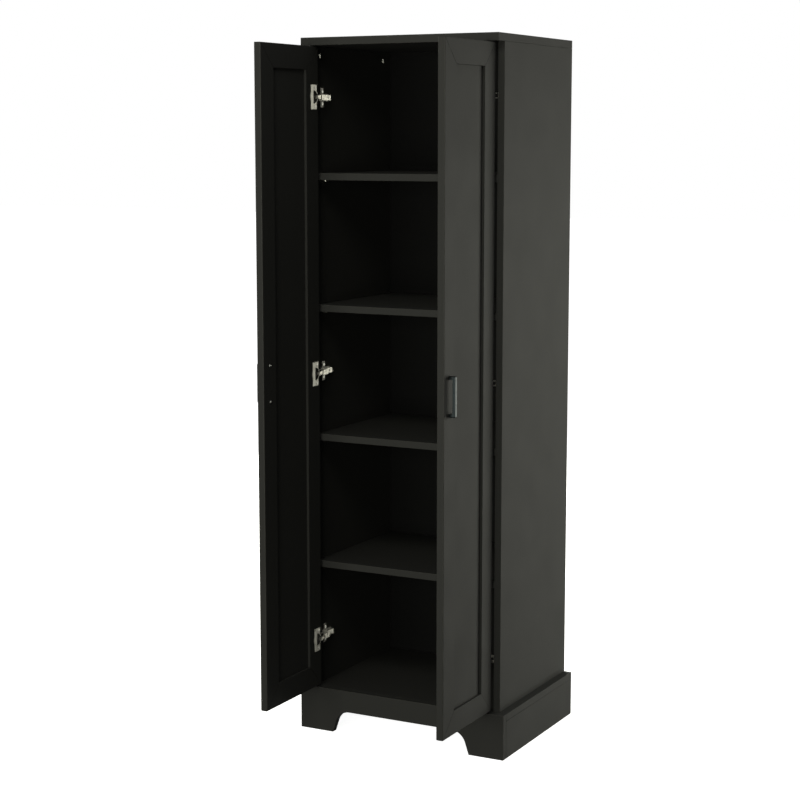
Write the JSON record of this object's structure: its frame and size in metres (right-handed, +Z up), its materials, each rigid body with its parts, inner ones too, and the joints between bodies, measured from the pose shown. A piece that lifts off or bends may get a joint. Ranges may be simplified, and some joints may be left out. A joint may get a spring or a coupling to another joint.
{
  "type": "pantry cabinet",
  "caption": "Tall freestanding cupboard with two framed doors on concealed hinges, fixed shelves inside, and a wider plinth with a cut-out between its front feet.",
  "frame": {"origin": "on the floor, under the middle of the box round the cabinet with both doors open at 90 degrees", "axes": "+Z up, -Y towards the front, +X towards the right-hand door, as seen by someone who faces the doors"},
  "size_m": [0.6, 0.7124, 1.83],
  "materials": {
    "painted_board": "matt charcoal-black paint on board",
    "back_board": "matt black faced hardboard",
    "hinge_steel": "bright nickel plate on pressed steel",
    "screw_steel": "bright zinc plate",
    "handle_metal": "black nickel, a dark gunmetal grey, on die-cast zinc",
    "pin_steel": "nickel plate",
    "cam_zinc": "plain die-cast zinc"
  },
  "bodies": {
    "carcass": {"plinth_front": "painted_board", "left_plinth_side": "painted_board", "right_plinth_side": "painted_board", "plinth_back": "painted_board", "cabinet_floor": "painted_board", "top_panel": "painted_board", "left_side_panel": "painted_board", "right_side_panel": "painted_board", "back_panel": "back_board", "shelf_1": "painted_board", "shelf_2": "painted_board", "shelf_3": "painted_board", "shelf_4": "painted_board", "left_shelf_pins": "pin_steel", "left_cam_locks": "cam_zinc", "left_hinge_mounting_plates": "hinge_steel", "left_hinge_plate_screws": "screw_steel", "left_hinge_arm_screws": "screw_steel", "left_lower_hinge_arm": "hinge_steel", "left_middle_hinge_arm": "hinge_steel", "left_upper_hinge_arm": "hinge_steel", "right_shelf_pins": "pin_steel", "right_cam_locks": "cam_zinc", "right_hinge_mounting_plates": "hinge_steel", "right_hinge_plate_screws": "screw_steel", "right_hinge_arm_screws": "screw_steel", "right_lower_hinge_arm": "hinge_steel", "right_middle_hinge_arm": "hinge_steel", "right_upper_hinge_arm": "hinge_steel"},
    "left_door": {"left_door_free_stile": "painted_board", "left_door_hinge_stile": "painted_board", "left_door_bottom_rail": "painted_board", "left_door_top_rail": "painted_board", "left_door_panel": "painted_board", "left_door_handle": "handle_metal", "left_door_handle_screws": "screw_steel", "left_hinge_cup_screws": "screw_steel", "left_lower_hinge_cup": "hinge_steel", "left_middle_hinge_cup": "hinge_steel", "left_upper_hinge_cup": "hinge_steel"},
    "right_door": {"right_door_free_stile": "painted_board", "right_door_hinge_stile": "painted_board", "right_door_bottom_rail": "painted_board", "right_door_top_rail": "painted_board", "right_door_panel": "painted_board", "right_door_handle": "handle_metal", "right_door_handle_screws": "screw_steel", "right_hinge_cup_screws": "screw_steel", "right_lower_hinge_cup": "hinge_steel", "right_middle_hinge_cup": "hinge_steel", "right_upper_hinge_cup": "hinge_steel"},
    "left_link": {"left_hinge_links": "hinge_steel"},
    "right_link": {"right_hinge_links": "hinge_steel"}
  },
  "joints": [
    {"name": "right_door_hinge", "type": "hinge", "parent": "carcass", "child": "right_door", "pos_m": [0.264, -0.09375, 0.966], "axis": [0, 0, 1], "range_deg": [-90, 20]},
    {"name": "left_door_hinge", "type": "hinge", "parent": "carcass", "child": "left_door", "pos_m": [-0.264, -0.09375, 0.966], "axis": [0, 0, -1], "range_deg": [-90, 20]},
    {"name": "right_link_pivot", "type": "hinge", "parent": "right_door", "child": "right_link", "pos_m": [0.248, -0.09125, 0.966], "axis": [0, 0, 1], "range_deg": [-24, 106]},
    {"name": "left_link_pivot", "type": "hinge", "parent": "left_door", "child": "left_link", "pos_m": [-0.248, -0.09125, 0.966], "axis": [0, 0, -1], "range_deg": [-24, 106]}
  ],
  "couplings": [
    {"joint": "right_link_pivot", "follows": "right_door_hinge", "ratio": -1.17},
    {"joint": "left_link_pivot", "follows": "left_door_hinge", "ratio": -1.17}
  ]
}
